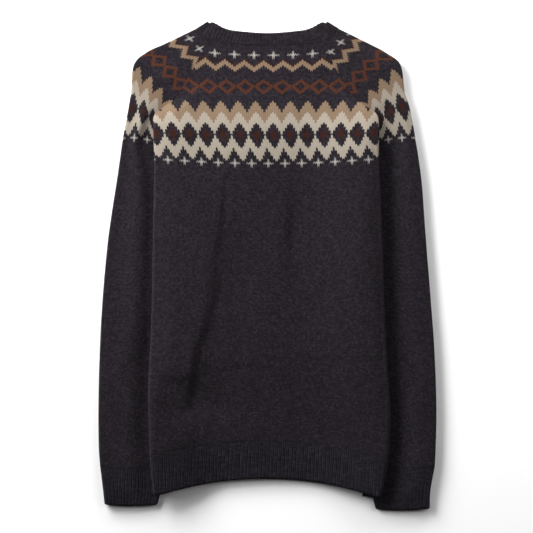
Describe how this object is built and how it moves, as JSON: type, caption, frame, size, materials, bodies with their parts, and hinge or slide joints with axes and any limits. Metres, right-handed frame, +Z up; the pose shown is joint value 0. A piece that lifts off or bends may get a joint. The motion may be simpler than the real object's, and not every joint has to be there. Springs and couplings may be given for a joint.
{
  "type": "fair isle jumper",
  "caption": "Knitted jumper with raglan sleeves, patterned yoke and ribbed neck, cuffs and hem, laid out flat with its back upwards.",
  "frame": {"origin": "on the surface it lies on, under the middle of its outline", "axes": "+Z up, +Y towards the neck, +X to the right as seen from above"},
  "size_m": [0.5052, 0.7361, 0.0222],
  "materials": {
    "knit_back": "matt heathered charcoal wool with a knitted yoke pattern",
    "knit_front": "matt heathered charcoal wool with a knitted yoke pattern",
    "knit_sleeve": "matt heathered charcoal wool with a knitted pattern at the top",
    "rib": "matt heathered charcoal wool in one-by-one rib"
  },
  "bodies": {
    "root": {"back": "knit_back", "front": "knit_front", "sleeve_left": "knit_sleeve", "sleeve_right": "knit_sleeve", "back_hem": "rib", "front_hem": "rib", "cuff_left": "rib", "cuff_right": "rib", "neckband": "rib"}
  },
  "joints": []
}
